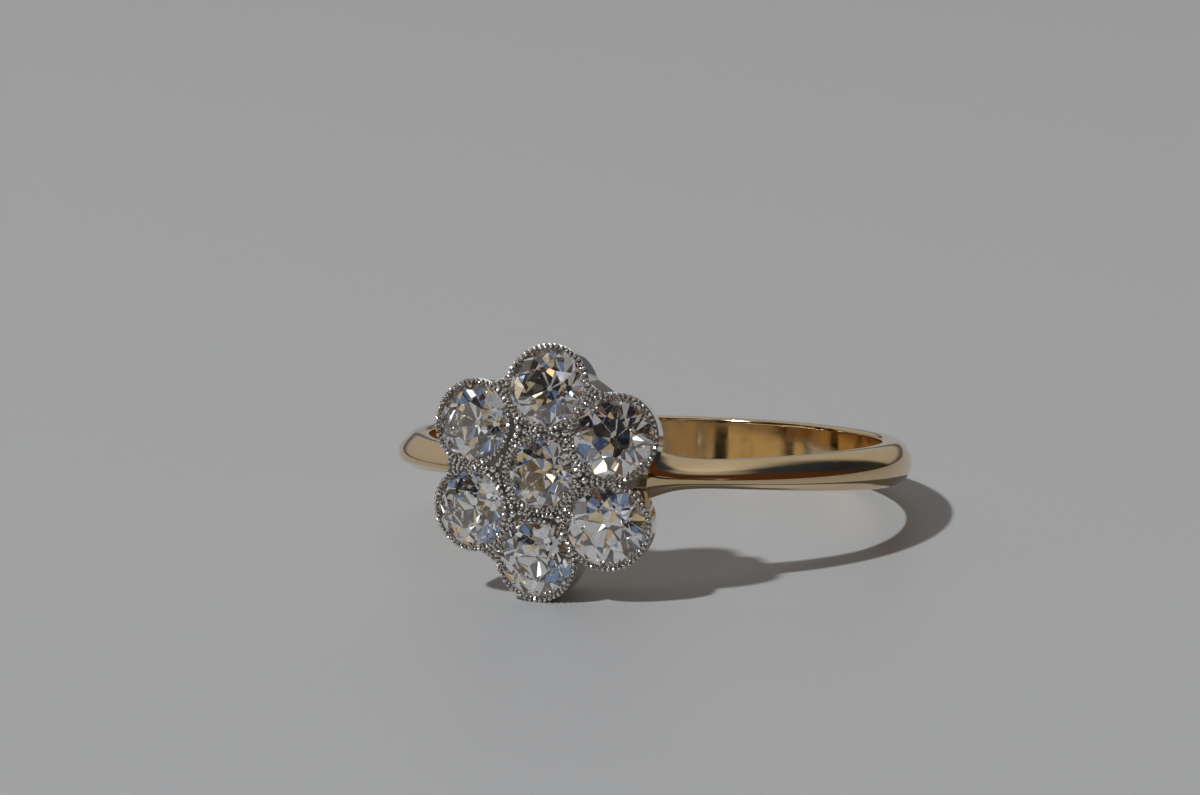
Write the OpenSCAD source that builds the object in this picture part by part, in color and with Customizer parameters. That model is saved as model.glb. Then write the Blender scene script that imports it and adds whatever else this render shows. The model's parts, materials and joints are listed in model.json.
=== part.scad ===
// Flower-shaped cluster ring, lying on its side as it would rest by itself.
// A gold shank and under-gallery carry a scalloped white-metal top with seven old-cut stones.
// Lengths are millimetres and angles are degrees.

/* [Shank] */
// Inner diameter of the band, where the finger goes
finger_d = 17.3; // [15:0.1:20]
// Width of the band at the back, along the finger
band_w = 1.9; // [1.6:0.05:2.6]
// Thickness of the band at the back
band_t = 1.15; // [0.9:0.05:1.5]
// Width of the shoulders where they are narrowest
shoulder_w = 1.02; // [0.9:0.02:1.4]
// Height of the shoulders above the finger where they run into the gallery
shoulder_h = 1.75; // [1.4:0.05:1.9]

/* [Head] */
// Height of the middle collet's rim above the finger
head_h = 2.9; // [2.7:0.05:3.4]
// Turn of the flower about its middle, seen from the front
head_turn = -3; // [-6:1:6]
// Outward lean of each petal
petal_lean = 11; // [5:1:13]
// Width of the metal rim round a petal's stone
rim_w = 0.18; // [0.15:0.01:0.25]
// Depth to which neighbouring petals run into each other
petal_merge = 0.1; // [0.08:0.01:0.2]
// Depth of the white metal behind the middle rim
white_depth = 1.5; // [1.35:0.05:1.6]
// Radius of the round grains in the junctions between rims
grain_r = 0.17; // [0.1:0.01:0.2]
// Clearance between the white metal and the gold behind it
solder_gap = 0.02; // [0.01:0.01:0.05]

/* [Gallery] */
// Distance of each under-collet from the head's middle, where it meets the finger
foot_pitch = 2.5; // [2.3:0.05:2.7]
// Radius of each under-collet where it meets the finger
foot_r = 1.3; // [1.15:0.05:1.4]
// Reach of the web that closes the notches between the under-collets
web_r = 3.6; // [3.3:0.05:3.9]
// Radius of the open hole behind each stone
azure_r = 0.95; // [0.85:0.05:1.05]
// Radius of the same hole at the finger
azure_foot_r = 0.7; // [0.5:0.05:0.75]

/* [Stones] */
// Diameter of the petals' stones
petal_stone_d = 2.85; // [2.7:0.05:3]
// Diameter of the middle stone
middle_stone_d = 2.5; // [2.3:0.05:2.6]
// Distance of the middle stone from the head's true middle, to the right
middle_shift = 0.11; // [0:0.01:0.15]
// Clearance between a stone and its seat
seat_clear = 0.025; // [0.01:0.005:0.04]
// Depth of a stone's girdle below its rim
seat_drop = 0.15; // [0.12:0.01:0.2]
// Overlap of the rim's lip over the edge of the stone
lip_w = 0.05; // [0.03:0.01:0.07]

/* [Hidden] */
$fn = 64;

// Old European cut, as shares of the stone's diameter
TABLE_SHARE = 0.5;
STAR_SHARE = 0.79;
CROWN_SHARE = 0.165;
GIRDLE_SHARE = 0.04;
PAVILION_SHARE = 0.43;
LOWER_HALF_SHARE = 0.6;
CULET_SHARE = 0.07;
MAINS = 8;
// Steepest rise and fall of the cut's facets, for each millimetre from the girdle inwards
HALF_STEP = 180 / MAINS;
UPPER_RISE = 2 * CROWN_SHARE * (1 - STAR_SHARE * cos(HALF_STEP)) / (1 - TABLE_SHARE) / (1 - STAR_SHARE);
LOWER_FALL = 2 * PAVILION_SHARE * (1 - LOWER_HALF_SHARE * cos(HALF_STEP))
    / (1 - CULET_SHARE * cos(HALF_STEP)) / (1 - LOWER_HALF_SHARE);

// Petals in the order of their stones in NODES after the middle one.
// Columns: place round the head, share of the petals' pitch, share of a petal's size,
// turn of the stone's facets
PLACE = 0;
PITCH = 1;
SIZE = 2;
TURN = 3;
petals = [
    [91, 0.99, 1, 8],
    [151, 1.03, 1, 31],
    [210.5, 0.99, 0.98, 14],
    [270, 1.005, 0.98, 24],
    [328, 0.995, 1.02, 3],
    [30, 0.985, 1.02, 38]];
MIDDLE_TURN = 19;
// Turn from a petal's place to the junction that follows it
JUNCTION = 180 / len(petals);

// Rows of grains along each junction.
// Columns: distance from the head's middle as a share of the petals' pitch, share of grain_r
grain_rows = [[0.545, 1], [0.685, 0.85]];

finger_r = finger_d / 2;
petal_r = petal_stone_d / 2 + rim_w;
petal_pitch = 2 * petal_r - petal_merge;
middle_r = petal_pitch - petal_r + petal_merge / 2;
rim_z = finger_r + head_h;
petal_z = rim_z - petal_r * sin(petal_lean);
split_z = rim_z - white_depth;
split_pitch = petal_pitch - (petal_z - split_z) * tan(petal_lean);
// Plate that closes the notches between the petals: its depth below the rims, and its reach
// at the split and at its top as shares of the petals' pitch
plate_drop = 0.22;
PLATE_LOW_SHARE = 1.08;
PLATE_TOP_SHARE = 1.1;
// Step from the white metal in to the gold
ledge = 0.04;
// Length by which a cutting or cut shape runs past its end
RUN_ON = 1;
chamfer = rim_w * 0.35;
cut_reach = petal_pitch + 2 * petal_r;

// Sections of the band from inside the head's edge round to the back.
// Columns: share of the way from the head's edge to the back, share from shoulder_w to band_w,
// share from band_t to shoulder_h, flare as a share of shoulder_w, sharpness of the ridge
WAY = 0;
WIDEN = 1;
RISE = 2;
FLARE = 3;
RIDGE = 4;
sections = [
    [-0.045, 0, 1, 1.6, 0.3],
    [-0.02, 0, 0.96, 1.2, 0.5],
    [0.005, 0, 0.75, 0.7, 0.8],
    [0.022, 0, 0.55, 0.38, 0.95],
    [0.04, 0, 0.4, 0.14, 1],
    [0.075, 0, 0.2, 0, 1],
    [0.136, 0.09, 0.1, 0, 1],
    [0.23, 0.33, 0.05, 0, 0.75],
    [0.324, 0.51, 0, 0, 0.45],
    [0.405, 0.65, 0, 0, 0.25],
    [0.56, 0.76, 0, 0, 0.05],
    [0.78, 0.92, 0, 0, 0],
    [1, 1, 0, 0, 0]];
HALF_STEPS = 42;
PROFILE_STEPS = 12;
SIDE_SHARE = 0.42;
BORE_SINK = 0.3;
head_angle = asin(web_r / (finger_r + shoulder_h));

// Value of one column of the section table at a share of the way
function section(column, way) = lookup(way, [for (row = sections) [row[WAY], row[column]]]);
function half_width(way) =
    (shoulder_w * (1 + section(FLARE, way)) + (band_w - shoulder_w) * section(WIDEN, way)) / 2;
function thickness(way) = band_t + (shoulder_h - band_t) * section(RISE, way);

// Outline of the band at one place: a half round that sharpens into a ridge.
// Each point is [distance from the finger's axis, place along the finger].
function crown_share(turn, sharp) = (1 - sharp) * sin(turn) + sharp * (1 - abs(cos(turn)));
function band_outline(way) = let (
        half = half_width(way),
        thick = thickness(way),
        side = thick * SIDE_SHARE,
        sharp = section(RIDGE, way))
    concat(
        [[finger_r - BORE_SINK, -half]],
        [for (i = [0 : PROFILE_STEPS]) let (turn = 180 * i / PROFILE_STEPS)
            [finger_r + side + (thick - side) * crown_share(turn, sharp), -half * cos(turn)]],
        [[finger_r - BORE_SINK, half]]);

// Points on a petal's edge in the head's frame, at a turn round it and a depth behind its rim
function petal_point(petal, turn, r, deep) = let (
        place = petal[PLACE] + head_turn,
        out = petal_pitch * petal[PITCH] + r * cos(turn) * cos(petal_lean) - deep * sin(petal_lean),
        side = r * sin(turn),
        z = petal_z - r * cos(turn) * sin(petal_lean) - deep * cos(petal_lean))
    [out * cos(place) - side * sin(place), out * sin(place) + side * cos(place), z];
function wall_depth(turn, r) =
    (petal_z - r * cos(turn) * sin(petal_lean) - split_z) / cos(petal_lean);

// Rest pose: the lowest petal and the back of the band both touch the surface.
// Each point is [place towards the back, place along the finger].
EDGE_STEP = 5;
head_edge = [for (petal = petals, turn = [0 : EDGE_STEP : 359]) let (r = petal_r * petal[SIZE])
    for (edge = [[r - chamfer, 0], [r, chamfer], [r, wall_depth(turn, r)]])
        let (p = petal_point(petal, turn, edge[0], edge[1])) [-p[2], p[1]]];
back_edge = band_outline(1);
function drop(points, tilt) = max([for (p = points) p[0] * sin(tilt) - p[1] * cos(tilt)]);
function find_tilt(low, high, steps) = let (mid = (low + high) / 2)
    steps == 0 ? mid
    : drop(head_edge, mid) > drop(back_edge, mid) ? find_tilt(mid, high, steps - 1)
    : find_tilt(low, mid, steps - 1);
rest_tilt = find_tilt(0, 40, 24);
rest_lift = drop(back_edge, rest_tilt);
table_z = rim_z - seat_drop + CROWN_SHARE * middle_stone_d;
front_reach = table_z * cos(rest_tilt);
back_reach = (finger_r + band_t) * cos(rest_tilt);
rest_shift = (front_reach - back_reach) / 2;

module at_rest() {
    translate([0, rest_shift, rest_lift]) rotate([-rest_tilt, 0, 0]) children();
}

// The head's own frame: up is away from the finger, and Y runs along the finger
module head_frame() {
    rotate([90, 0, 0]) children();
}

module at_petal(petal) {
    rotate([0, 0, petal[PLACE] + head_turn])
        translate([petal_pitch * petal[PITCH], 0, petal_z])
            rotate([0, petal_lean, 0])
                children();
}

module at_middle() {
    translate([middle_shift, 0, rim_z]) children();
}

// Everything in the head that lies above a height, for cutting
module above(height) {
    translate([0, 0, height]) cylinder(h = head_h, r = cut_reach);
}

// Stone: an old European cut with its girdle's middle at the origin
function ring_point(radius, angle, height) = [radius * cos(angle), radius * sin(angle), height];
function plane_z(a, b, c, x, y) = let (n = cross(b - a, c - a))
    a[2] - (n[0] * (x - a[0]) + n[1] * (y - a[1])) / n[2];
// Height on a main facet that falls from the inner radius to the girdle
function main_z(radius, inner_r, inner_z, girdle_r, girdle_z) =
    inner_z + (girdle_z - inner_z) * (radius - inner_r) / (girdle_r - inner_r);

module old_cut(d) {
    r = d / 2;
    step = 360 / MAINS;
    edge_z = GIRDLE_SHARE * d / 2;
    table_r = TABLE_SHARE * r;
    top_z = edge_z + CROWN_SHARE * d;
    star_r = STAR_SHARE * r;
    star_z = main_z(star_r * cos(step / 2), table_r, top_z, r, edge_z);
    culet_r = CULET_SHARE * r;
    low_z = -edge_z - PAVILION_SHARE * d;
    lower_r = LOWER_HALF_SHARE * r;
    lower_z = main_z(lower_r * cos(step / 2), culet_r * cos(step / 2), low_z, r, -edge_z);
    // Girdle points: every second one ends a facet's edge, and the others lie on the facets' planes
    upper_mid = plane_z(ring_point(star_r, step / 2, star_z), ring_point(r, 0, edge_z),
        ring_point(r, step / 2, edge_z), r * cos(step / 4), r * sin(step / 4));
    lower_mid = plane_z(ring_point(lower_r, step / 2, lower_z), ring_point(r, 0, -edge_z),
        ring_point(r, step / 2, -edge_z), r * cos(step / 4), r * sin(step / 4));
    n = MAINS;
    g = 4 * MAINS;
    points = concat(
        [for (i = [0 : n - 1]) ring_point(table_r, i * step, top_z)],
        [for (i = [0 : n - 1]) ring_point(star_r, (i + 0.5) * step, star_z)],
        [for (j = [0 : g - 1]) ring_point(r, j * step / 4, j % 2 == 0 ? edge_z : upper_mid)],
        [for (j = [0 : g - 1]) ring_point(r, j * step / 4, j % 2 == 0 ? -edge_z : lower_mid)],
        [for (i = [0 : n - 1]) ring_point(lower_r, (i + 0.5) * step, lower_z)],
        [for (i = [0 : n - 1]) ring_point(culet_r, (i + 0.5) * step, low_z)]);
    star = n;
    up = 2 * n;
    down = up + g;
    low = down + g;
    culet = low + n;
    faces = concat(
        [[for (i = [n - 1 : -1 : 0]) i]],
        [for (i = [0 : n - 1]) [i, (i + 1) % n, star + i]],
        [for (i = [0 : n - 1]) [i, star + i, up + 4 * i, star + (i + n - 1) % n]],
        [for (i = [0 : n - 1], half = [0, 2])
            [star + i, for (k = [2 : -1 : 0]) up + (4 * i + half + k) % g]],
        [for (j = [0 : g - 1]) [up + j, up + (j + 1) % g, down + (j + 1) % g, down + j]],
        [for (i = [0 : n - 1], half = [0, 2])
            [low + i, for (k = [0 : 2]) down + (4 * i + half + k) % g]],
        [for (i = [0 : n - 1])
            [low + (i + n - 1) % n, down + 4 * i, low + i, culet + i, culet + (i + n - 1) % n]],
        [[for (i = [0 : n - 1]) culet + i]]);
    polyhedron(points, faces);
}

function girdle_mid_z(d) = -seat_drop - GIRDLE_SHARE * d / 2;

// Space for one stone: an undercut groove for its girdle, a lip over it and an open hole behind it
module seat(d) {
    r = d / 2;
    deep = white_depth + RUN_ON;
    groove_r = r + seat_clear;
    lip_r = r - lip_w;
    groove_top = -seat_drop + seat_clear;
    groove_low = -seat_drop - GIRDLE_SHARE * d - seat_clear;
    rotate_extrude()
        polygon([
            [0, RUN_ON],
            [lip_r, RUN_ON],
            [lip_r, groove_top + (groove_r - lip_r) * UPPER_RISE],
            [groove_r, groove_top],
            [groove_r, groove_low],
            [azure_r, groove_low - (groove_r - azure_r) * LOWER_FALL],
            [azure_r, -deep],
            [0, -deep]]);
}

// One white collet with a chamfered rim
module collet(r) {
    rotate_extrude()
        polygon([
            [0, 0],
            [r - chamfer, 0],
            [r, -chamfer],
            [r, -white_depth - RUN_ON],
            [0, -white_depth - RUN_ON]]);
}

module plate() {
    translate([0, 0, split_z])
        cylinder(h = white_depth - plate_drop, r1 = petal_pitch * PLATE_LOW_SHARE,
            r2 = petal_pitch * PLATE_TOP_SHARE);
}

module grains() {
    for (petal = petals, row = grain_rows)
        rotate([0, 0, petal[PLACE] + head_turn + JUNCTION])
            translate([row[0] * petal_pitch, 0, rim_z - grain_r / 2])
                sphere(r = grain_r * row[1], $fn = 24);
}

// White metal: seven merged collets, the plate between them and the grains on it
module setting() {
    color([0.80, 0.80, 0.78])
    at_rest() head_frame()
    difference() {
        intersection() {
            union() {
                for (petal = petals)
                    at_petal(petal) collet(petal_r * petal[SIZE]);
                at_middle() collet(middle_r);
                plate();
                grains();
            }
            above(split_z + solder_gap / 2);
        }
        for (petal = petals)
            at_petal(petal) seat(petal_stone_d * petal[SIZE]);
        at_middle() seat(middle_stone_d);
    }
}

// Leaning cone, given its middle and half width at the split and at the finger.
// It runs on past both.
module under_collet(top_pitch, top_r, low_pitch, low_r) {
    fall = split_z - finger_r;
    outer = atan((top_pitch + top_r - low_pitch - low_r) / fall);
    inner = atan((top_pitch - top_r - low_pitch + low_r) / fall);
    lean = (outer + inner) / 2;
    half_angle = (outer - inner) / 2;
    apex_fall = 2 * low_r / (tan(outer) - tan(inner));
    apex = [low_pitch + low_r - apex_fall * tan(outer), 0, finger_r - apex_fall];
    start = (apex_fall - RUN_ON) / cos(lean);
    end = (apex_fall + fall + RUN_ON) / cos(lean);
    translate(apex)
        rotate([0, lean, 0])
            translate([0, 0, start])
                cylinder(h = end - start, r1 = start * tan(half_angle), r2 = end * tan(half_angle));
}

module gallery_body() {
    for (petal = petals)
        rotate([0, 0, petal[PLACE] + head_turn])
            under_collet(split_pitch * petal[PITCH], petal_r * petal[SIZE] - ledge,
                foot_pitch * petal[PITCH], foot_r);
    translate([0, 0, finger_r - RUN_ON])
        cylinder(h = split_z - finger_r + RUN_ON, r1 = foot_pitch, r2 = web_r);
}

module gallery_holes() {
    for (petal = petals)
        rotate([0, 0, petal[PLACE] + head_turn])
            under_collet(split_pitch * petal[PITCH], azure_r, foot_pitch * petal[PITCH], azure_foot_r);
    under_collet(0, azure_r, 0, azure_foot_r);
}

// Band and shoulders, swept from the head's one side round the back to its other side
module band() {
    start = head_angle + sections[0][WAY] * (180 - head_angle);
    half = [for (i = [0 : HALF_STEPS]) start + (180 - start) * i / HALF_STEPS];
    angles = concat(half, [for (i = [HALF_STEPS - 1 : -1 : 0]) 360 - half[i]]);
    rings = [for (a = angles)
        let (way = ((a <= 180 ? a : 360 - a) - head_angle) / (180 - head_angle))
            [for (p = band_outline(way)) [p[0] * sin(a), -p[0] * cos(a), p[1]]]];
    size = len(rings[0]);
    last = len(rings) - 1;
    faces = concat(
        [[for (k = [size - 1 : -1 : 0]) k]],
        [for (s = [0 : last - 1], k = [0 : size - 1]) let (next = (k + 1) % size)
            [s * size + k, s * size + next, (s + 1) * size + next, (s + 1) * size + k]],
        [[for (k = [0 : size - 1]) last * size + k]]);
    polyhedron([for (ring = rings, p = ring) p], faces, convexity = 6);
}

// Gold: the band, its shoulders and the under-gallery are one soldered piece
module shank() {
    color([0.80, 0.66, 0.42])
    at_rest()
    difference() {
        union() {
            head_frame() gallery_body();
            band();
        }
        head_frame() above(split_z - solder_gap / 2);
        head_frame() gallery_holes();
        cylinder(h = 2 * cut_reach, r = finger_r, center = true);
    }
}

module middle_stone() {
    color([0.85, 0.90, 0.95])
    at_rest() head_frame()
        at_middle() translate([0, 0, girdle_mid_z(middle_stone_d)])
            rotate([0, 0, MIDDLE_TURN])
                old_cut(middle_stone_d);
}

module petal_stone(petal) {
    d = petal_stone_d * petal[SIZE];
    color([0.85, 0.90, 0.95])
    at_rest() head_frame() at_petal(petal)
        translate([0, 0, girdle_mid_z(d)])
            rotate([0, 0, petal[TURN]])
                old_cut(d);
}

shank();
setting();
middle_stone();  // stone_middle
petal_stone(petals[0]);  // stone_top
petal_stone(petals[1]);  // stone_upper_left
petal_stone(petals[2]);  // stone_lower_left
petal_stone(petals[3]);  // stone_bottom
petal_stone(petals[4]);  // stone_lower_right
petal_stone(petals[5]);  // stone_upper_right
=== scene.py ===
"""The looks of the cluster ring: gold shank, beaded white metal setting and old-cut stones."""
import json
import math
import random

import bmesh
import bpy
from mathutils import Euler, Matrix, Vector


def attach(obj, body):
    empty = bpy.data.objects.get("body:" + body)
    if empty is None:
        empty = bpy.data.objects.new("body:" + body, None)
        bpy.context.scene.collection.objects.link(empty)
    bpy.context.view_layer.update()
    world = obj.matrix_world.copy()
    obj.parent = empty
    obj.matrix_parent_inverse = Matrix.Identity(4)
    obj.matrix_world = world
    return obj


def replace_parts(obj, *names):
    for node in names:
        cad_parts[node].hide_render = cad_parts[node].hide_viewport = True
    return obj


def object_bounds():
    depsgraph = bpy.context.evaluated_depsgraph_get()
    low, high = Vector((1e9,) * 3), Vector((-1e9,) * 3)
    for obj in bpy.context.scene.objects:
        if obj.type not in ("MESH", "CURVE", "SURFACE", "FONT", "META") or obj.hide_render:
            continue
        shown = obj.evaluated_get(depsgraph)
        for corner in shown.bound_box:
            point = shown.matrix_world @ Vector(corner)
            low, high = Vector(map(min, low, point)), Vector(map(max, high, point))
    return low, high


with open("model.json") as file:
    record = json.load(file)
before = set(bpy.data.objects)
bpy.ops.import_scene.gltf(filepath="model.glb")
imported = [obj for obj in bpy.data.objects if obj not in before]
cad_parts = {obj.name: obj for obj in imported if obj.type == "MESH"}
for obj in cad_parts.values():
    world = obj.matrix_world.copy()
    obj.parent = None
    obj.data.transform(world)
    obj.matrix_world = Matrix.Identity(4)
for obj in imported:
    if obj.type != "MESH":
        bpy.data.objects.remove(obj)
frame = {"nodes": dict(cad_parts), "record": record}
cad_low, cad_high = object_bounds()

MM = 0.001
# Two points nearer than this count as one place
TINY = 0.001 * MM
# Pieces that are cut, sunk or united later run on this far
RUN_ON = 1 * MM

# Shank
BAND_W = 1.9 * MM
BAND_T = 1.15 * MM
SHOULDER_W = 1.02 * MM
SHOULDER_H = 1.75 * MM

# Head. Angles are in degrees
HEAD_H = 2.9 * MM
HEAD_TURN = -3
PETAL_LEAN = 11
RIM_W = 0.18 * MM
PETAL_MERGE = 0.1 * MM
WHITE_DEPTH = 1.5 * MM
SOLDER_GAP = 0.02 * MM

# The plate under the collets. Shares are of the petals' pitch, drops are from the rims
PLATE_LOW_SHARE = 1.08
PLATE_EDGE_SHARE = 1.1
PLATE_TOP_SHARE = 0.8
PLATE_DROP = 0.22 * MM
PLATE_EDGE_DROP = 2 * PLATE_DROP
PLATE_TOP_DROP = 1.1 * PLATE_DROP

# Gallery
FOOT_PITCH = 2.5 * MM
FOOT_R = 1.3 * MM
WEB_R = 3.6 * MM
AZURE_R = 0.95 * MM
AZURE_FOOT_R = 0.7 * MM
# A gold collet is this much narrower than the white one on it
LEDGE = 0.04 * MM
# The gallery's cut is this much inside the bore, so that its face and the band's never coincide
BORE_MARGIN = TINY * 8
FINGER_CUT_L = 20 * MM
BORE_SIDES = 256
COLLET_SIDES = 72
ROUND_SIDES = 96

# Stones and their seats
PETAL_STONE_D = 2.85 * MM
MIDDLE_STONE_D = 2.5 * MM
MIDDLE_SHIFT = 0.11 * MM
SEAT_CLEAR = 0.025 * MM
SEAT_DROP = 0.15 * MM
# The girdle's share of the diameter, the slopes behind the groove and of the lip, and the mouth
GIRDLE_SHARE = 0.04
BEHIND_SLOPE = 1.03
LIP_SLOPE = 0.85
MOUTH_DROP = 0.035 * MM
MOUTH_FLARE = 0.015 * MM

# Columns: place round the head, share of the petals' pitch, share of a petal's size, fluted wall
PETALS = {
    "top": (91, 0.99, 1, False),
    "upper_left": (151, 1.03, 1, False),
    "lower_left": (210.5, 0.99, 0.98, True),
    "bottom": (270, 1.005, 0.98, True),
    "lower_right": (328, 0.995, 1.02, True),
    "upper_right": (30, 0.985, 1.02, False),
}
# Degrees from a petal to the junction next to it
HALF_STEP = 30

# Sections of the band from inside the head's edge round to the back. Columns: share of the way,
# share from SHOULDER_W to BAND_W, share from BAND_T to SHOULDER_H, flare, sharpness of the ridge
BAND_SECTIONS = (
    (-0.045, 0, 1, 1.6, 0.3),
    (-0.02, 0, 0.96, 1.2, 0.5),
    (0.005, 0, 0.75, 0.7, 0.8),
    (0.022, 0, 0.55, 0.38, 0.95),
    (0.04, 0, 0.4, 0.14, 1),
    (0.075, 0, 0.2, 0, 1),
    (0.136, 0.09, 0.1, 0, 1),
    (0.23, 0.33, 0.05, 0, 0.75),
    (0.324, 0.51, 0, 0, 0.45),
    (0.405, 0.65, 0, 0, 0.25),
    (0.56, 0.76, 0, 0, 0.05),
    (0.78, 0.92, 0, 0, 0),
    (1, 1, 0, 0, 0),
)
# Which column is which, counted from 0
WIDENING = 1
THICKENING = 2
FLARE = 3
SHARPNESS = 4
PROFILE_SIDES = 16
# The flat edge's share of the thickness, from the finger out
SIDE_SHARE = 0.42
NOSE_SHARE = 0.15
NOSE_DROP = 0.16 * MM
# The cage is this much larger than the band, because subdividing it draws its rounds in
DOME_SWELL = 1.026
WIDTH_SWELL = 1.013

# Collets: the wall, the sunk track for the beads and the flutes
WALL_TOP = -0.11 * MM
WALL_BEVEL = 0.025 * MM
TRACK_SINK = 0.1 * MM
TRACK_RISE = 0.8
# Above this height a collet's top takes the dull metal with painted shade
SHADE_PAINT_FROM = -0.25 * MM
FLUTE_DEPTH = 0.045 * MM
FLUTE_LOW = -0.42 * MM
FLUTE_TOP = -0.1 * MM
FLUTE_RUN_OUT = 0.12 * MM
MIDDLE_WALL_TOP = -0.24 * MM
# The top of the middle collet. Columns: distance outside the stone, z
MIDDLE_TOP = ((0.22 * MM, -0.16 * MM), (0.18 * MM, -TRACK_SINK), (0, -TRACK_SINK * TRACK_RISE))

# Beads
BEADS_ROUND_PETAL = 48
BEADS_ROUND_MIDDLE = 42
BEAD_R = 0.076 * MM
BEAD_INSET = 0.073 * MM
BEAD_SINK = 0.035 * MM
BEAD_UNEVEN = 0.2
MIDDLE_BEAD_OUT = 0.108 * MM
CHANNEL_BEADS = 54
CHANNEL_OUT = 0.235 * MM
CHANNEL_R = MIDDLE_STONE_D / 2 + CHANNEL_OUT
CHANNEL_SINK = 0.11 * MM
CHANNEL_ROOM = 0.02 * MM
CHANNEL_BEAD_SIZE = 0.8
EDGE_BEADS = 56
EDGE_BEAD_R = 0.038 * MM
EDGE_BEAD_OUT = 0.018 * MM
EDGE_BEAD_SINK = 0.03 * MM

# Grains. Columns: distance from the head's middle, distance sideways, radius
GRAIN_R = 0.13 * MM
GRAIN_SINK = 0.09 * MM
GRAIN_PLACES = (
    (1.78 * MM, 0, 0.15 * MM), (1.58 * MM, -0.2 * MM, 0.11 * MM), (1.58 * MM, 0.2 * MM, 0.11 * MM),
    (2.04 * MM, 0, 0.11 * MM), (2.24 * MM, 0, 0.085 * MM),
    (1.5 * MM, -0.38 * MM, 0.08 * MM), (1.5 * MM, 0.38 * MM, 0.08 * MM),
    (1.44 * MM, -0.51 * MM, 0.06 * MM), (1.44 * MM, 0.51 * MM, 0.06 * MM),
)

# Webs in the outer notches. The beads' columns: distance from the head's middle, distance sideways
WEB_IN = 3.0 * MM
WEB_OUT = 3.72 * MM
WEB_HALF_W = 0.4 * MM
WEB_SINK = 0.3 * MM
WEB_BEVEL = 0.04 * MM
WEB_BEADS = (
    (3.6 * MM, -0.09 * MM), (3.6 * MM, 0.09 * MM), (3.66 * MM, -0.27 * MM), (3.66 * MM, 0.27 * MM),
    (3.42 * MM, -0.08 * MM), (3.42 * MM, 0.08 * MM), (3.24 * MM, 0),
)
WEB_PLACES = (118, 178, 237, 58)
# Always the same beads
chance = random.Random(7)

# Finish of the metals. Scales are waves to the metre
CLOUD_SCALE = 900
BEAD_CLOUD_SCALE = 6000
HAZE_SCALE = 2600
SCRATCH_SCALE = 5200
SCRATCH_STRETCH = (1, 1, 6)
SCRATCH_STRENGTH = 0.12
SCRATCH_DEPTH = 0.004 * MM
DIAMOND_IOR = 2.42
# Edges sharper than this many degrees stay sharp
METAL_CREASE = 35
BEAD_CREASE = 5

# The room round the ring. Stops are (height or number, colour); 0 is the horizon and 1 is overhead
PALE_ROOM = (
    (0.0, (0.08, 0.08, 0.09)), (0.045, (0.10, 0.10, 0.11)), (0.1, (0.36, 0.34, 0.31)),
    (0.3, (0.39, 0.38, 0.36)), (0.85, (0.44, 0.43, 0.42)), (1.0, (1.0, 0.97, 0.94)),
)
DARK_WALL = (
    (0.0, (0.035, 0.028, 0.018)), (0.25, (0.03, 0.032, 0.028)), (0.5, (0.018, 0.022, 0.035)),
    (0.86, (0.03, 0.04, 0.06)), (0.93, (0.45, 0.45, 0.46)),
)
BROWN_CORNER = (0.075, 0.03, 0.012, 1)
PATCHES = (
    (0.0, (0.008, 0.009, 0.014)), (0.2, (0.06, 0.12, 0.26)), (0.42, (0.012, 0.015, 0.025)),
    (0.6, (0.07, 0.05, 0.025)), (0.7, (0.09, 0.14, 0.26)), (0.8, (0.015, 0.015, 0.015)),
    (0.93, (0.6, 0.62, 0.65)),
)
LOW_PATCHES = (
    (0.0, (0.012, 0.010, 0.008)), (0.3, (0.34, 0.25, 0.12)), (0.5, (0.03, 0.02, 0.012)),
    (0.75, (0.42, 0.32, 0.17)),
)
SPARKS = (
    (0.0, (1.0, 1.0, 1.0)), (0.45, (1.0, 0.52, 0.22)), (0.55, (1.0, 0.98, 0.94)),
    (0.7, (0.35, 0.55, 1.0)), (0.8, (0.9, 0.95, 1.0)), (0.92, (1.0, 0.85, 0.6)),
)
# Cells of the room, and the round sparks in the smaller ones
PATCH_SCALE = 3.3
SPARK_SCALE = 6
SPARK_R = 0.19
SPARK_SOLID = 0.85
SPARK_STRENGTH = 2.2
# Where the patched front fades into the pale room, and the low patches into the others
FRONT_EDGE = (0.0, 0.2)
LOW_EDGE = (0.2, 0.26)
# Edges of the dark wall and of its brown corner. Columns: direction in degrees, softness
WALL_START = (152, 0.04)
WALL_END = (240, 0.1)
BROWN_EDGE = (118, 0.12)

# Key lamp and floor
KEY_DIRECTION = (-0.46, -0.58, 1.0)
KEY_DISTANCE = 1600 * MM
KEY_SIZE = 84 * MM
KEY_POWER = 24
KEY_COLOUR = (0.95, 0.98, 1.0)
FLOOR_SIZE = 800 * MM
FLOOR_COLOUR = (0.365, 0.365, 0.368, 1)
FLOOR_ROUGHNESS = 0.45

# Camera, as fitted to the photograph: degrees, and pixels of the photograph
AZIMUTH = 21.7
ELEVATION = 13.98
ROLL = 2.35
PHOTO_W = 1200
PHOTO_H = 795
FOCAL_PX = 3919
CENTRE_PX = (655, 454.5)
CAMERA_DISTANCE = 150 * MM
# The sensor's width is in millimetres, as Blender has it
SENSOR_W = 36
CLIP_START = 10 * MM
CLIP_END = 2000 * MM

# Light paths
BOUNCES_IN_ALL = 32
BOUNCES_OF_A_KIND = 24

# From the frame: the ring's centre, the finger's axis and the bore
bore = next(mount for mount in frame["record"]["mounts"] if mount["name"] == "finger_bore")
RING_CENTRE = Vector(bore["pos_m"])
FINGER_AXIS = Vector(bore["axis"]).normalized()
FINGER_R = bore["dims"]["r_mm"] * MM
REST_TILT = math.atan2(FINGER_AXIS.y, FINGER_AXIS.z)
RING_TO_ROW = Matrix.Translation(RING_CENTRE) @ Matrix.Rotation(-REST_TILT, 4, "X")
HEAD_TO_ROW = RING_TO_ROW @ Matrix.Rotation(math.pi / 2, 4, "X")

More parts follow.
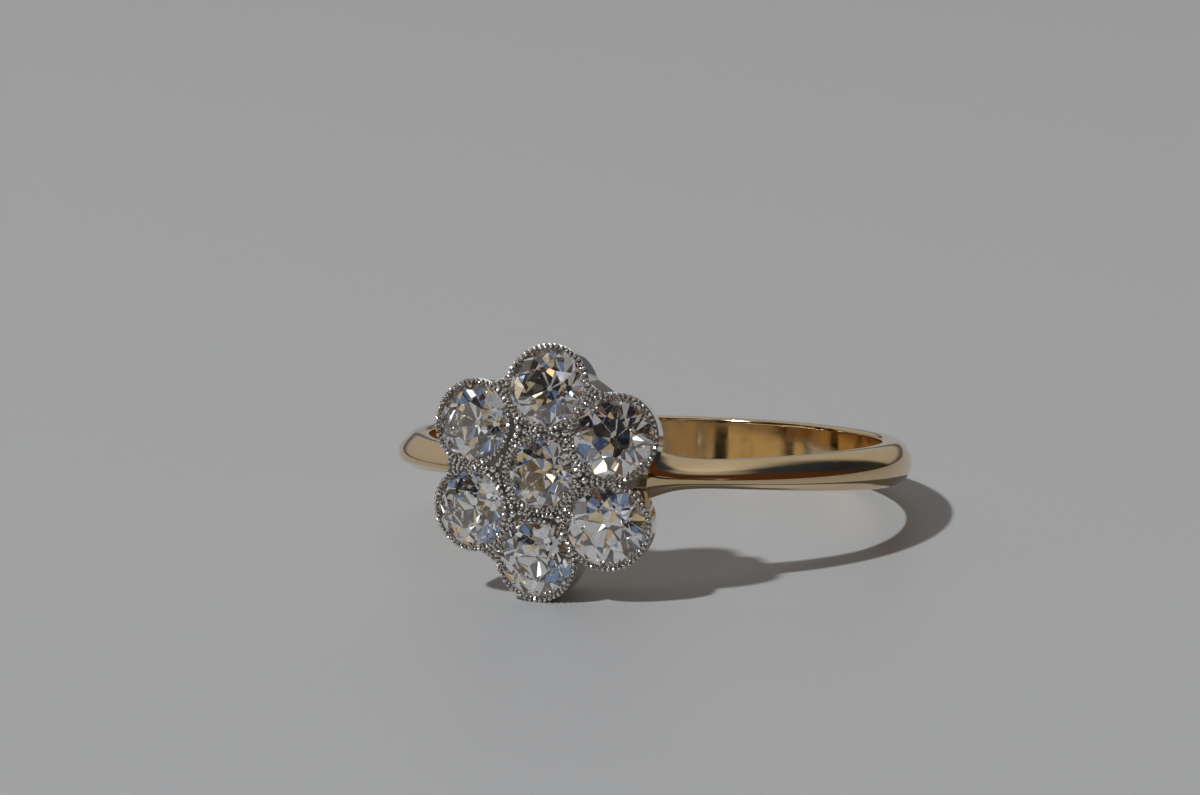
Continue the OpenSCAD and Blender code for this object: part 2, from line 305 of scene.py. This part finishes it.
# Sizes that follow from those above
PETAL_R = PETAL_STONE_D / 2 + RIM_W
PETAL_PITCH = 2 * PETAL_R - PETAL_MERGE
MIDDLE_R = PETAL_PITCH - PETAL_R + PETAL_MERGE / 2
LEAN = math.radians(PETAL_LEAN)
RIM_Z = FINGER_R + HEAD_H
PETAL_Z = RIM_Z - PETAL_R * math.sin(LEAN)
SPLIT_Z = RIM_Z - WHITE_DEPTH
SPLIT_PITCH = PETAL_PITCH - (PETAL_Z - SPLIT_Z) * math.tan(LEAN)
HEAD_ANGLE = math.asin(WEB_R / (FINGER_R + SHOULDER_H))
MIDDLE_TO_HEAD = Matrix.Translation((MIDDLE_SHIFT, 0, RIM_Z))


# Modelling helpers

def pick(piece):
    """Make one piece the only one selected, and the active one."""
    bpy.ops.object.select_all(action="DESELECT")
    piece.select_set(True)
    bpy.context.view_layer.objects.active = piece


def start_piece(name):
    """Name the primitive that was just added and go into edit mode on it, selected all over."""
    piece = bpy.context.active_object
    piece.name = name
    piece.data.name = name
    bpy.ops.object.transform_apply(location=True, rotation=True, scale=True)
    bpy.ops.object.mode_set(mode="EDIT")
    return piece


def select_vertices(piece, test):
    """Select the vertices of the piece in edit mode for which the test holds."""
    mesh = bmesh.from_edit_mesh(piece.data)
    for vert in mesh.verts:
        vert.select = test(vert)
    mesh.select_mode = {"VERT"}
    mesh.select_flush_mode()
    bmesh.update_edit_mesh(piece.data)


def select_where(piece, test):
    """Select the vertices of the piece in edit mode for which the test of their place holds."""
    select_vertices(piece, lambda vert: test(vert.co))


def start_edit(piece):
    """Go into edit mode on a finished piece, selected all over."""
    pick(piece)
    bpy.ops.object.mode_set(mode="EDIT")
    bpy.ops.mesh.select_all(action="SELECT")


def finish_edit():
    """Close the edit: normals outwards, and back to object mode."""
    bpy.ops.mesh.select_all(action="SELECT")
    bpy.ops.mesh.normals_make_consistent(inside=False)
    bpy.ops.object.mode_set(mode="OBJECT")


def apply_modifier(piece, kind, **settings):
    """Add one modifier, set it up and apply it."""
    pick(piece)
    modifier = piece.modifiers.new(kind.title(), kind)
    for key, value in settings.items():
        setattr(modifier, key, value)
    bpy.ops.object.modifier_apply(modifier=modifier.name)


def combine(piece, tool, operation):
    """Unite the tool with the piece, or cut it away, and delete it."""
    apply_modifier(piece, "BOOLEAN", operation=operation, object=tool, solver="EXACT", use_self=True)
    bpy.data.objects.remove(tool)
    return piece


def weld(piece):
    """Merge the points that the cuts left almost together, and drop those inside a straight edge."""
    start_edit(piece)
    bpy.ops.mesh.remove_doubles(threshold=TINY / 2)
    select_vertices(piece, lambda vert: len(vert.link_edges) == 2)
    bpy.ops.mesh.dissolve_verts()
    finish_edit()
    return piece


def join(name, parts):
    """Join several meshes into one object."""
    pick(parts[0])
    for part in parts:
        part.select_set(True)
    bpy.ops.object.join()
    parts[0].name = name
    parts[0].data.name = name
    return parts[0]


def put(piece, matrix):
    """Move a piece by a matrix, and keep the move in its mesh."""
    piece.data.transform(matrix)
    return piece


def turned(degrees):
    """A turn about Z, counter-clockwise."""
    return Matrix.Rotation(math.radians(degrees), 4, "Z")


def petal_frame(place, pitch):
    """From a petal's own frame to the head's frame."""
    out = Matrix.Translation((PETAL_PITCH * pitch, 0, PETAL_Z))
    return turned(place + HEAD_TURN) @ out @ Matrix.Rotation(LEAN, 4, "Y")


def turned_solid(name, profile, sides):
    """A solid of revolution about Z, raised ring by ring. The profile holds (radius, z)."""
    radius, z = profile[0]
    bpy.ops.mesh.primitive_circle_add(
        vertices=sides, radius=radius, location=(0, 0, z), fill_type="NGON")
    piece = start_piece(name)
    for next_radius, next_z in profile[1:]:
        bpy.ops.mesh.extrude_region_move(TRANSFORM_OT_translate={"value": (0, 0, next_z - z)})
        scale = next_radius / radius
        bpy.ops.transform.resize(value=(scale, scale, 1), center_override=(0, 0, next_z))
        radius, z = next_radius, next_z
    finish_edit()
    return piece


# Materials

def new_material(name):
    """A node material. Returns it with its nodes, its links and its Principled shader."""
    material = bpy.data.materials.new(name)
    material.use_nodes = True
    nodes, links = material.node_tree.nodes, material.node_tree.links
    return material, nodes, links, nodes["Principled BSDF"]


def add_noise(nodes, links, source, scale, detail):
    """Soft random pattern, 0 to 1."""
    noise = nodes.new("ShaderNodeTexNoise")
    noise.inputs["Scale"].default_value = scale
    noise.inputs["Detail"].default_value = detail
    links.new(source, noise.inputs["Vector"])
    return noise.outputs["Fac"]


def add_range(nodes, links, source, low, high, from_low=0.3, from_high=0.7):
    """A value spread from one range to another. By default the first is where noise mostly lies."""
    spread = nodes.new("ShaderNodeMapRange")
    spread.inputs["From Min"].default_value = from_low
    spread.inputs["From Max"].default_value = from_high
    spread.inputs["To Min"].default_value = low
    spread.inputs["To Max"].default_value = high
    links.new(source, spread.inputs["Value"])
    return spread.outputs["Result"]


def add_mix(nodes, links, share, first, second):
    """Mix of two colours. Each is a colour or the output of another node."""
    mix = nodes.new("ShaderNodeMix")
    mix.data_type = "RGBA"
    links.new(share, mix.inputs["Factor"])
    for socket, colour in ((mix.inputs["A"], first), (mix.inputs["B"], second)):
        if isinstance(colour, tuple):
            socket.default_value = colour
        else:
            links.new(colour, socket)
    return mix.outputs["Result"]


def add_maths(nodes, links, operation, first, second):
    """One sum of two values. Each is a number or the output of another node."""
    maths = nodes.new("ShaderNodeMath")
    maths.operation = operation
    for socket, value in zip(maths.inputs, (first, second)):
        if isinstance(value, (int, float)):
            socket.default_value = value
        else:
            links.new(value, socket)
    return maths.outputs["Value"]


def add_bump(nodes, links, source, shader, strength, depth):
    """Unevenness of the surface that is finer than its mesh."""
    bump = nodes.new("ShaderNodeBump")
    bump.inputs["Strength"].default_value = strength
    bump.inputs["Distance"].default_value = depth
    links.new(source, bump.inputs["Height"])
    links.new(bump.outputs["Normal"], shader.inputs["Normal"])


def metal(name, bright, worn, roughness, cloud_scale=CLOUD_SCALE):
    """Polished metal with faint polishing waves, fine scratches and slightly uneven colour."""
    material, nodes, links, shader = new_material(name)
    place = nodes.new("ShaderNodeTexCoord").outputs["Object"]
    shader.inputs["Metallic"].default_value = 1
    cloud = add_noise(nodes, links, place, scale=cloud_scale, detail=3)
    links.new(add_mix(nodes, links, cloud, bright, worn), shader.inputs["Base Color"])
    haze = add_noise(nodes, links, place, scale=HAZE_SCALE, detail=4)
    links.new(add_range(nodes, links, haze, *roughness), shader.inputs["Roughness"])
    stretch = nodes.new("ShaderNodeMapping")
    stretch.inputs["Scale"].default_value = SCRATCH_STRETCH
    links.new(place, stretch.inputs["Vector"])
    scratches = add_noise(nodes, links, stretch.outputs["Vector"], scale=SCRATCH_SCALE, detail=5)
    add_bump(nodes, links, scratches, shader, SCRATCH_STRENGTH, SCRATCH_DEPTH)
    return material


def diamond(name):
    """Clear stone, which bends the light as strongly as diamond does."""
    material, nodes, links, shader = new_material(name)
    nodes.remove(shader)
    glass = nodes.new("ShaderNodeBsdfGlass")
    glass.inputs["Roughness"].default_value = 0
    glass.inputs["IOR"].default_value = DIAMOND_IOR
    links.new(glass.outputs["BSDF"], nodes["Material Output"].inputs["Surface"])
    return material


gold = metal(
    "pale_gold", bright=(0.80, 0.62, 0.38, 1), worn=(0.74, 0.55, 0.32, 1), roughness=(0.05, 0.12))
platinum = metal(
    "bright_platinum", bright=(0.90, 0.88, 0.85, 1), worn=(0.80, 0.79, 0.76, 1),
    roughness=(0.05, 0.12))
bead_platinum = metal(
    "bead_platinum", bright=(1.0, 0.94, 0.86, 1), worn=(0.54, 0.53, 0.54, 1),
    roughness=(0.12, 0.28), cloud_scale=BEAD_CLOUD_SCALE)
# Its dark base colour is painted shade for the hollows between the beads; its higher roughness is a
# real dull finish
dull_shaded_platinum = metal(
    "dull_shaded_platinum", bright=(0.30, 0.29, 0.27, 1), worn=(0.16, 0.15, 0.14, 1), roughness=(0.3, 0.5))
clear_stone = diamond("clear_diamond")


# Shank

def along(column, way):
    """Value of one column of the section table at a share of the way."""
    for before, after in zip(BAND_SECTIONS, BAND_SECTIONS[1:]):
        if way <= after[0]:
            share = (way - before[0]) / (after[0] - before[0])
            return before[column] + (after[column] - before[column]) * share
    return BAND_SECTIONS[-1][column]


def half_width(way):
    """Half of the bar's width at a share of the way."""
    flare = SHOULDER_W * (1 + along(FLARE, way))
    return (flare + (BAND_W - SHOULDER_W) * along(WIDENING, way)) / 2 * WIDTH_SWELL


def thickness(way):
    """The bar's thickness at a share of the way."""
    return (BAND_T + (SHOULDER_H - BAND_T) * along(THICKENING, way)) * DOME_SWELL


def bar_place(way):
    """Distance along the straight bar from the middle of the band's back."""
    return FINGER_R * (math.pi - HEAD_ANGLE) * (1 - way)


def make_band():
    """A straight half-round bar with ridged and flared ends, bent round the finger."""
    step = 2 * math.pi / PROFILE_SIDES
    ways = [row[0] for row in BAND_SECTIONS]
    stations = [(-bar_place(way), way) for way in ways]
    stations += [(bar_place(way), way) for way in ways[-2::-1]]
    x, way = stations[0]
    bpy.ops.mesh.primitive_circle_add(
        vertices=PROFILE_SIDES, radius=1, rotation=(0, math.pi / 2, 0), fill_type="NGON")
    band = start_piece("shank_gold")
    thick, half = thickness(way), half_width(way)
    bpy.ops.transform.resize(value=(1, thick * (1 - SIDE_SHARE), half))
    bpy.ops.transform.translate(value=(x, -thick * SIDE_SHARE, 0))
    select_where(band, lambda co: co.y > -thick * SIDE_SHARE + TINY)
    bpy.ops.transform.resize(value=(1, 0, 1 / math.cos(step)), center_override=(x, 0, 0))
    bpy.ops.mesh.select_all(action="SELECT")
    for next_x, next_way in stations[1:]:
        bpy.ops.mesh.extrude_region_move(TRANSFORM_OT_translate={"value": (next_x - x, 0, 0)})
        next_thick, next_half = thickness(next_way), half_width(next_way)
        bpy.ops.transform.resize(
            value=(1, next_thick / thick, next_half / half), center_override=(next_x, 0, 0))
        x, thick, half = next_x, next_thick, next_half
    for x, way in stations:
        sharpen_ridge(band, x, way, step, PROFILE_SIDES // 4)
    finish_edit()
    apply_modifier(band, "SUBSURF", levels=3, render_levels=3)
    apply_modifier(band, "SIMPLE_DEFORM", deform_method="BEND", deform_axis="Z",
                   angle=2 * bar_place(ways[0]) / FINGER_R)
    return put(band, turned(180) @ Matrix.Translation((0, -FINGER_R, 0)))


def sharpen_ridge(band, x, way, step, steps):
    """Sink the flanks of one section, which makes its half round a blunt ridge, a little low."""
    thick, half = thickness(way), half_width(way)
    dome = thick * (1 - SIDE_SHARE)
    sharp = along(SHARPNESS, way)
    for i in range(1, steps):
        turn = step * i
        blunt = NOSE_SHARE if i == steps - 1 else 1
        sink = dome * sharp * blunt * (math.sin(turn) + math.cos(turn) - 1)
        if sink > TINY:
            place = half * math.cos(turn)
            select_where(band, lambda co: abs(co.x - x) < TINY and abs(abs(co.z) - place) < TINY
                         and co.y < -thick * SIDE_SHARE)
            bpy.ops.transform.translate(value=(0, sink, 0))
    nose = half * math.cos(step * (steps - 1)) + TINY
    select_where(band, lambda co: abs(co.x - x) < TINY and abs(co.z) < nose
                 and co.y < -thick * SIDE_SHARE)
    bpy.ops.transform.translate(value=(0, 0, -NOSE_DROP * sharp))


def under_collet(name, low_pitch, low_r, top_pitch, top_r, place):
    """Leaning cone for a collet or a hole, from the finger to the split. It runs on past both."""
    rise = SPLIT_Z - FINGER_R
    share = RUN_ON / rise
    start_pitch = low_pitch - (top_pitch - low_pitch) * share
    end_pitch = top_pitch + (top_pitch - low_pitch) * share
    start_r = low_r - (top_r - low_r) * share
    end_r = top_r + (top_r - low_r) * share
    start, end = FINGER_R - RUN_ON, SPLIT_Z + RUN_ON
    bpy.ops.mesh.primitive_circle_add(
        vertices=COLLET_SIDES, radius=start_r, location=(start_pitch, 0, start), fill_type="NGON")
    cone = start_piece(name)
    bpy.ops.mesh.extrude_region_move(
        TRANSFORM_OT_translate={"value": (end_pitch - start_pitch, 0, end - start)})
    scale = end_r / start_r
    bpy.ops.transform.resize(value=(scale, scale, 1), center_override=(end_pitch, 0, end))
    finish_edit()
    return put(cone, turned(place + HEAD_TURN))


def saw_off(piece, height, upper):
    """Saw off everything above a height, or else everything below it, and close the cut."""
    start_edit(piece)
    bpy.ops.mesh.bisect(plane_co=(0, 0, height), plane_no=(0, 0, 1), use_fill=True,
                        clear_outer=upper, clear_inner=not upper, threshold=TINY / 10)
    finish_edit()


def make_shank():
    """The band with its shoulders, united with the gallery, and the light holes through it."""
    collets = [under_collet("collet_" + name, FOOT_PITCH * pitch, FOOT_R, SPLIT_PITCH * pitch,
                            PETAL_R * size - LEDGE, place)
               for name, (place, pitch, size, _) in PETALS.items()]
    web = turned_solid("web", [(FOOT_PITCH, FINGER_R - RUN_ON), (WEB_R, SPLIT_Z)], ROUND_SIDES)
    gallery = join("gallery", [web] + collets)
    bpy.ops.mesh.primitive_cylinder_add(
        vertices=BORE_SIDES, radius=FINGER_R - BORE_MARGIN, depth=FINGER_CUT_L,
        rotation=(math.pi / 2, 0, 0))
    combine(gallery, bpy.context.active_object, "DIFFERENCE")
    put(gallery, Matrix.Rotation(math.pi / 2, 4, "X"))
    shank = combine(make_band(), gallery, "UNION")
    put(shank, Matrix.Rotation(-math.pi / 2, 4, "X"))
    saw_off(shank, SPLIT_Z - SOLDER_GAP / 2, upper=True)
    holes = [under_collet("hole_" + name, FOOT_PITCH * pitch, AZURE_FOOT_R, SPLIT_PITCH * pitch,
                          AZURE_R, place)
             for name, (place, pitch, _, _) in PETALS.items()]
    holes.append(under_collet("hole_middle", 0, AZURE_FOOT_R, 0, AZURE_R, 0))
    combine(shank, join("holes", holes), "DIFFERENCE")
    return put(weld(shank), HEAD_TO_ROW)


# Setting

def make_seat(name, diameter):
    """The space for one stone: a groove for its girdle under a lip, and an open hole behind it."""
    r = diameter / 2
    groove = r + SEAT_CLEAR
    groove_top = -SEAT_DROP + SEAT_CLEAR
    groove_low = -SEAT_DROP - GIRDLE_SHARE * diameter - SEAT_CLEAR
    return turned_solid(name, [
        (AZURE_R, -WHITE_DEPTH - RUN_ON),
        (AZURE_R, groove_low - (groove - AZURE_R) * BEHIND_SLOPE),
        (groove, groove_low), (groove, groove_top), (r, groove_top + SEAT_CLEAR * LIP_SLOPE),
        (r, -MOUTH_DROP), (r + MOUTH_FLARE, RUN_ON)], COLLET_SIDES)


def make_collet(name, r, fluted):
    """One petal's collet: a plain or fluted wall, and a sunk track for the beads on top of it."""
    sides = 2 * BEADS_ROUND_PETAL
    collet = turned_solid(name, [
        (r, -WHITE_DEPTH - RUN_ON), (r, FLUTE_LOW - FLUTE_RUN_OUT), (r, FLUTE_LOW), (r, WALL_TOP),
        (r - WALL_BEVEL, -TRACK_SINK), (r - RIM_W, -TRACK_SINK * TRACK_RISE)], sides)
    if fluted:
        carve_flutes(collet, r, sides)
    # The sunk track at the top takes the darker metal with painted shade
    return paint_shade_above(collet, SHADE_PAINT_FROM)


def make_middle_collet():
    """The middle stone's collet. Its track is next to the stone, and it falls away outside that."""
    r = MIDDLE_STONE_D / 2
    wall = [(MIDDLE_R, -WHITE_DEPTH - RUN_ON), (MIDDLE_R, MIDDLE_WALL_TOP)]
    top = [(r + out, z) for out, z in MIDDLE_TOP]
    # The whole middle collet takes the darker metal with painted shade
    return paint_shade_above(turned_solid("collet_middle", wall + top, ROUND_SIDES), -WHITE_DEPTH)


def paint_shade_above(piece, height):
    """Bright metal, and above a height the dull metal that lies between the beads, darkened with
    painted shade.
    """
    piece.data.materials.append(platinum)
    piece.data.materials.append(dull_shaded_platinum)
    start_edit(piece)
    select_where(piece, lambda co: co.z > height)
    piece.active_material_index = 1
    bpy.ops.object.material_slot_assign()
    bpy.ops.object.mode_set(mode="OBJECT")
    return piece


def carve_flutes(collet, r, sides):
    """Press every second line of the wall inwards between two heights."""
    start_edit(collet)

    def in_groove(co):
        line = round(math.atan2(co.y, co.x) / (2 * math.pi) * sides)
        on_wall = FLUTE_LOW - TINY < co.z < FLUTE_TOP and co.to_2d().length > r - TINY
        return line % 2 == 1 and on_wall

    select_where(collet, in_groove)
    share = 1 - FLUTE_DEPTH / r
    bpy.ops.transform.resize(value=(share, share, 1), center_override=(0, 0, 0))
    finish_edit()


def make_notch_web(place):
    """Small block that fills the outer notch between two petals up to their rims."""
    bpy.ops.mesh.primitive_cube_add(size=1)
    block = start_piece("notch_web")
    bpy.ops.transform.resize(
        value=(WEB_OUT - WEB_IN, 2 * WEB_HALF_W, WHITE_DEPTH), center_override=(0, 0, 0))
    bpy.ops.transform.translate(value=((WEB_IN + WEB_OUT) / 2, 0, -WHITE_DEPTH / 2 - WEB_SINK))
    select_where(block, lambda co: co.x > WEB_IN + TINY)
    bpy.ops.transform.translate(value=(0, 0, -(WEB_OUT - WEB_IN) * math.tan(LEAN)))
    finish_edit()
    apply_modifier(block, "BEVEL", width=WEB_BEVEL, segments=2)
    # The whole web takes the darker metal with painted shade, as it lies in a shaded notch
    paint_shade_above(block, -2 * WHITE_DEPTH)
    return put(block, turned(place) @ Matrix.Translation((0, 0, RIM_Z)))


def junction_places():
    """The six directions between the petals."""
    return [place + HEAD_TURN + HALF_STEP for place, _, _, _ in PETALS.values()]


def make_setting():
    """Seven collets on one plate, sawn flat where they are soldered to the gold."""
    collets = [put(make_collet("collet_" + name, PETAL_R * size, fluted), petal_frame(place, pitch))
               for name, (place, pitch, size, fluted) in PETALS.items()]
    collets.append(put(make_middle_collet(), MIDDLE_TO_HEAD))
    webs = [make_notch_web(place) for place in WEB_PLACES]
    setting = turned_solid("setting_white", [
        (PETAL_PITCH * PLATE_LOW_SHARE, SPLIT_Z - RUN_ON / 2),
        (PETAL_PITCH * PLATE_EDGE_SHARE, RIM_Z - PLATE_EDGE_DROP),
        (PETAL_PITCH * PLATE_TOP_SHARE, RIM_Z - PLATE_TOP_DROP)], ROUND_SIDES)
    # The plate takes the darker metal with painted shade
    paint_shade_above(setting, SPLIT_Z - RUN_ON)
    combine(setting, join("collets", collets + webs), "UNION")
    saw_off(setting, SPLIT_Z + SOLDER_GAP / 2, upper=False)
    seats = [put(make_seat("seat_" + name, PETAL_STONE_D * size), petal_frame(place, pitch))
             for name, (place, pitch, size, _) in PETALS.items()]
    seats.append(put(make_seat("seat_middle", MIDDLE_STONE_D), MIDDLE_TO_HEAD))
    combine(setting, join("seats", seats), "DIFFERENCE")
    return put(weld(setting), HEAD_TO_ROW)


def make_bead(name, radius, segments, rings):
    """One round bead, which is then strewn."""
    bpy.ops.mesh.primitive_uv_sphere_add(segments=segments, ring_count=rings, radius=radius)
    bead = start_piece(name)
    finish_edit()
    return bead


def strew(name, pattern, places):
    """Joined copies of one small shape, each at its own matrix."""
    copies = []
    for place in places:
        copy = pattern.copy()
        copy.data = pattern.data.copy()
        bpy.context.collection.objects.link(copy)
        copies.append(put(copy, place))
    bpy.data.objects.remove(pattern)
    return join(name, copies)


def bead_place(frame_of_rim, turn, radius, sink):
    """A bead on a circle round a stone, uneven in size and turn, as hand-rolled ones are."""
    size = Matrix.Scale(1 + BEAD_UNEVEN * (chance.random() - 0.5), 4)
    spin = Euler([chance.uniform(-math.pi, math.pi) for _ in range(3)]).to_matrix().to_4x4()
    return frame_of_rim @ turned(turn) @ Matrix.Translation((radius, 0, -sink)) @ spin @ size


def bead_ring(frame_of_rim, count, radius, sink):
    """A row of beads all round a stone."""
    return [bead_place(frame_of_rim, 360 * i / count, radius, sink) for i in range(count)]


def channel_places():
    """Smaller beads in the channel round the middle stone's collet, where the petals leave room."""
    places = []
    for spot in bead_ring(MIDDLE_TO_HEAD, CHANNEL_BEADS, CHANNEL_R, CHANNEL_SINK):
        gaps = [(spot.translation - petal_frame(place, pitch).translation).to_2d().length
                - PETAL_R * size for place, pitch, size, _ in PETALS.values()]
        if min(gaps) > CHANNEL_ROOM:
            places.append(spot @ Matrix.Scale(CHANNEL_BEAD_SIZE, 4))
    return places


def make_beads():
    """The row of beads along each rim, those in the channel, and those on the notch webs."""
    places = []
    for place, pitch, size, _ in PETALS.values():
        rim = petal_frame(place, pitch)
        places += bead_ring(rim, BEADS_ROUND_PETAL, PETAL_R * size - BEAD_INSET, BEAD_SINK)
    radius = MIDDLE_STONE_D / 2 + MIDDLE_BEAD_OUT
    places += bead_ring(MIDDLE_TO_HEAD, BEADS_ROUND_MIDDLE, radius, BEAD_SINK)
    places += channel_places()
    for place in WEB_PLACES:
        for out, side in WEB_BEADS:
            sink = WEB_SINK + (out - WEB_IN) * math.tan(LEAN) - BEAD_R / 2
            places.append(turned(place) @ Matrix.Translation((out, side, RIM_Z - sink)))
    bead = make_bead("bead", BEAD_R, segments=8, rings=6)
    return put(strew("millegrain_beads", bead, places), HEAD_TO_ROW)


def make_edge_beads():
    """The fine bright row where the metal is pressed over each stone."""
    places = []
    for place, pitch, size, _ in PETALS.values():
        radius = PETAL_STONE_D * size / 2 + EDGE_BEAD_OUT
        places += bead_ring(petal_frame(place, pitch), EDGE_BEADS, radius, EDGE_BEAD_SINK)
    radius = MIDDLE_STONE_D / 2 + EDGE_BEAD_OUT
    places += bead_ring(MIDDLE_TO_HEAD, EDGE_BEADS, radius, EDGE_BEAD_SINK)
    bead = make_bead("edge_bead", EDGE_BEAD_R, segments=6, rings=5)
    return put(strew("edge_beads", bead, places), HEAD_TO_ROW)


def make_grains():
    """Raised grains in the junctions between the rims."""
    places = []
    for place in junction_places():
        for out, side, radius in GRAIN_PLACES:
            sink = GRAIN_SINK + max(0, out - MIDDLE_R) * math.tan(LEAN)
            spot = Matrix.Translation((out, side, RIM_Z - sink))
            places.append(turned(place) @ spot @ Matrix.Scale(radius / GRAIN_R, 4))
    grain = make_bead("grain", GRAIN_R, segments=12, rings=8)
    return put(strew("junction_grains", grain, places), HEAD_TO_ROW)


def coat(piece, material, crease=None):
    """Give a new piece its material and smooth shading, and say what it rides on."""
    if material:
        piece.data.materials.clear()
        piece.data.materials.append(material)
    pick(piece)
    if crease is None:
        bpy.ops.object.shade_smooth()
    else:
        bpy.ops.object.shade_smooth_by_angle(angle=math.radians(crease))
    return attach(piece, "root")


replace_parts(coat(make_shank(), gold, METAL_CREASE), "shank")
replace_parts(coat(make_setting(), None, METAL_CREASE), "setting")
coat(make_beads(), bead_platinum, BEAD_CREASE)
coat(make_edge_beads(), bead_platinum, BEAD_CREASE)
coat(make_grains(), platinum)
for node, stone in frame["nodes"].items():
    if node.startswith("stone_"):
        stone.material_slots[0].material = clear_stone


# Stage, camera and lights

def make_floor():
    """The pale surface that the ring lies on."""
    bpy.ops.mesh.primitive_plane_add(size=FLOOR_SIZE, location=(0, 0, cad_low.z))
    floor = bpy.context.active_object
    floor.name = "floor"
    material, _, _, shader = new_material("pale_floor")
    shader.inputs["Base Color"].default_value = FLOOR_COLOUR
    shader.inputs["Roughness"].default_value = FLOOR_ROUGHNESS
    floor.data.materials.append(material)


def make_camera():
    """The photograph's camera, at its fitted place, turned so that the ring's centre lands right."""
    azimuth, elevation, roll = (math.radians(angle) for angle in (AZIMUTH, ELEVATION, ROLL))
    back = Vector((math.sin(azimuth) * math.cos(elevation), -math.cos(azimuth) * math.cos(elevation),
                   math.sin(elevation)))
    aim = (-back).to_track_quat("-Z", "Y") @ Matrix.Rotation(-roll, 3, "Z").to_quaternion()
    across = (CENTRE_PX[0] - PHOTO_W / 2) / FOCAL_PX
    down = (CENTRE_PX[1] - PHOTO_H / 2) / FOCAL_PX
    shift = Vector((across, -down, -1)).rotation_difference(Vector((0, 0, -1)))
    bpy.ops.object.camera_add(location=RING_CENTRE + back * CAMERA_DISTANCE)
    camera = bpy.context.active_object
    camera.rotation_mode = "QUATERNION"
    camera.rotation_quaternion = aim @ shift
    camera.data.sensor_width = SENSOR_W
    camera.data.lens = FOCAL_PX * SENSOR_W / PHOTO_W
    camera.data.clip_start = CLIP_START
    camera.data.clip_end = CLIP_END
    bpy.context.scene.camera = camera


def make_lamp(name, direction, distance, size, power, colour):
    """Square soft lamp that shines at the ring from a direction."""
    place = RING_CENTRE + Vector(direction).normalized() * distance
    bpy.ops.object.light_add(type="AREA", location=place)
    lamp = bpy.context.active_object
    lamp.name = name
    lamp.rotation_euler = (RING_CENTRE - place).to_track_quat("-Z", "Y").to_euler()
    lamp.data.size = size
    lamp.data.energy = power
    lamp.data.color = colour


def add_stripe(nodes, links, value, stops, kind="LINEAR"):
    """Colours by height or another value. Each stop is (value, colour)."""
    ramp = nodes.new("ShaderNodeValToRGB")
    links.new(value, ramp.inputs["Fac"])
    elements = ramp.color_ramp.elements
    while len(elements) < len(stops):
        elements.new(0.5)
    for element, (place, colour) in zip(elements, stops):
        element.position = place
        element.color = (*colour, 1)
    ramp.color_ramp.interpolation = kind
    return ramp.outputs["Color"]


def side_of(nodes, links, split, degrees, soft):
    """1 to the left of a direction seen from above and 0 to its right. 0 degrees is to the front."""
    turn = math.radians(degrees)
    across = add_maths(nodes, links, "MULTIPLY", split.outputs["X"], -math.cos(turn))
    along_it = add_maths(nodes, links, "MULTIPLY", split.outputs["Y"], -math.sin(turn))
    total = add_maths(nodes, links, "ADD", across, along_it)
    return add_range(nodes, links, total, 0, 1, -soft, soft)


def add_cells(nodes, links, place, scale):
    """Random cells. Gives the distance from each cell's middle and the cell's number from 0 to 1."""
    cells = nodes.new("ShaderNodeTexVoronoi")
    cells.inputs["Scale"].default_value = scale
    links.new(place, cells.inputs["Vector"])
    parts = nodes.new("ShaderNodeSeparateColor")
    links.new(cells.outputs["Color"], parts.inputs["Color"])
    return cells.outputs["Distance"], parts.outputs["Red"]


def make_world():
    """A pale room with a dark right wall. Its front is in patches, which the stones break up."""
    world = bpy.data.worlds.new("studio")
    bpy.context.scene.world = world
    world.use_nodes = True
    nodes, links = world.node_tree.nodes, world.node_tree.links
    place = nodes.new("ShaderNodeTexCoord").outputs["Generated"]
    split = nodes.new("ShaderNodeSeparateXYZ")
    links.new(place, split.inputs["Vector"])
    height = split.outputs["Z"]
    pale = add_stripe(nodes, links, height, PALE_ROOM)
    dark = add_mix(nodes, links, side_of(nodes, links, split, *BROWN_EDGE),
                   add_stripe(nodes, links, height, DARK_WALL), BROWN_CORNER)
    _, number = add_cells(nodes, links, place, PATCH_SCALE)
    patches = add_stripe(nodes, links, number, PATCHES, "CONSTANT")
    low_patches = add_stripe(nodes, links, number, LOW_PATCHES, "CONSTANT")
    low_share = add_range(nodes, links, height, 1, 0, *LOW_EDGE)
    room = add_mix(nodes, links, low_share, patches, low_patches)
    distance, number = add_cells(nodes, links, place, SPARK_SCALE)
    sparks = nodes.new("ShaderNodeVectorMath")
    sparks.operation = "SCALE"
    sparks.inputs["Scale"].default_value = SPARK_STRENGTH
    links.new(add_stripe(nodes, links, number, SPARKS, "CONSTANT"), sparks.inputs[0])
    spark = add_range(nodes, links, distance, 1, 0, SPARK_R * SPARK_SOLID, SPARK_R)
    room = add_mix(nodes, links, spark, room, sparks.outputs["Vector"])
    front = add_range(nodes, links, split.outputs["Y"], 1, 0, *FRONT_EDGE)
    right = add_maths(nodes, links, "MULTIPLY", side_of(nodes, links, split, *WALL_START),
                      side_of(nodes, links, split, *WALL_END))
    view = add_mix(nodes, links, right, add_mix(nodes, links, front, pale, room), dark)
    links.new(view, nodes["Background"].inputs["Color"])
    nodes["Background"].inputs["Strength"].default_value = 1.0


make_floor()
make_camera()
make_world()
make_lamp("key_lamp", KEY_DIRECTION, KEY_DISTANCE, KEY_SIZE, KEY_POWER, KEY_COLOUR)

bpy.context.scene.view_settings.view_transform = "Standard"
cycles = bpy.context.scene.cycles
cycles.max_bounces = BOUNCES_IN_ALL
cycles.glossy_bounces = BOUNCES_OF_A_KIND
cycles.transmission_bounces = BOUNCES_OF_A_KIND
